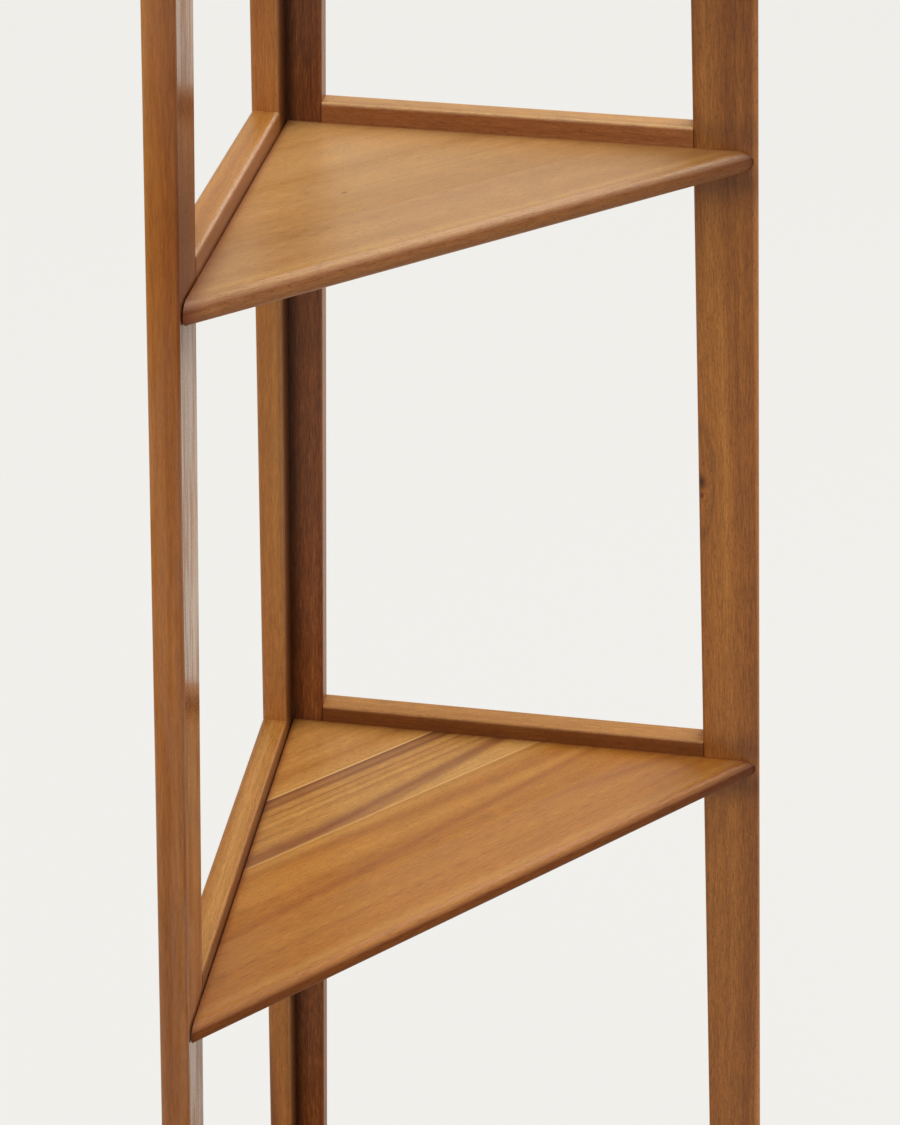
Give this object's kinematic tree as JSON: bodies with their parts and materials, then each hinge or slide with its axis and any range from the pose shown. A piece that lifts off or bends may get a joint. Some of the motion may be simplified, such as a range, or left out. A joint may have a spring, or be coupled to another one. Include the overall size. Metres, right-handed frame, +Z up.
{
  "type": "corner shelving unit",
  "caption": "Tall open corner shelving unit in oiled wood: two tapering ladder frames at a right angle carry triangular shelves with round front edges.",
  "frame": {"origin": "middle of the footprint's bounding square, on the floor", "axes": "+Z up; +Y to the wall behind the right frame, which runs along X; -X to the wall behind the left frame, which runs along Y; the rear corner is at -X +Y and the shelves' front edges face +X -Y"},
  "size_m": [0.4658, 0.4658, 1.8],
  "materials": {
    "acacia": "solid acacia, satin oil",
    "dowel_wood": "plain beech, glued in",
    "fixing_steel": "stainless, turned and bright",
    "glide_plastic": "black nylon, matt"
  },
  "bodies": {
    "root": {"left_rear_post": "acacia", "left_front_post": "acacia", "left_rail_1": "acacia", "left_rail_2": "acacia", "left_rail_3": "acacia", "left_rail_4": "acacia", "left_frame_dowels": "dowel_wood", "right_rear_post": "acacia", "right_front_post": "acacia", "right_rail_1": "acacia", "right_rail_2": "acacia", "right_rail_3": "acacia", "right_rail_4": "acacia", "right_frame_dowels": "dowel_wood", "shelf_1_stave_1": "acacia", "shelf_1_stave_2": "acacia", "shelf_1_stave_3": "acacia", "shelf_1_stave_4": "acacia", "shelf_1_stave_5": "acacia", "shelf_2_stave_1": "acacia", "shelf_2_stave_2": "acacia", "shelf_2_stave_3": "acacia", "shelf_2_stave_4": "acacia", "shelf_3_stave_1": "acacia", "shelf_3_stave_2": "acacia", "shelf_3_stave_3": "acacia", "shelf_3_stave_4": "acacia", "shelf_4_stave_1": "acacia", "shelf_4_stave_2": "acacia", "shelf_4_stave_3": "acacia", "shelf_screws": "fixing_steel", "corner_bolts": "fixing_steel", "corner_barrel_nuts": "fixing_steel", "left_rear_glide": "glide_plastic", "left_front_glide": "glide_plastic", "right_rear_glide": "glide_plastic", "right_front_glide": "glide_plastic"}
  },
  "joints": []
}
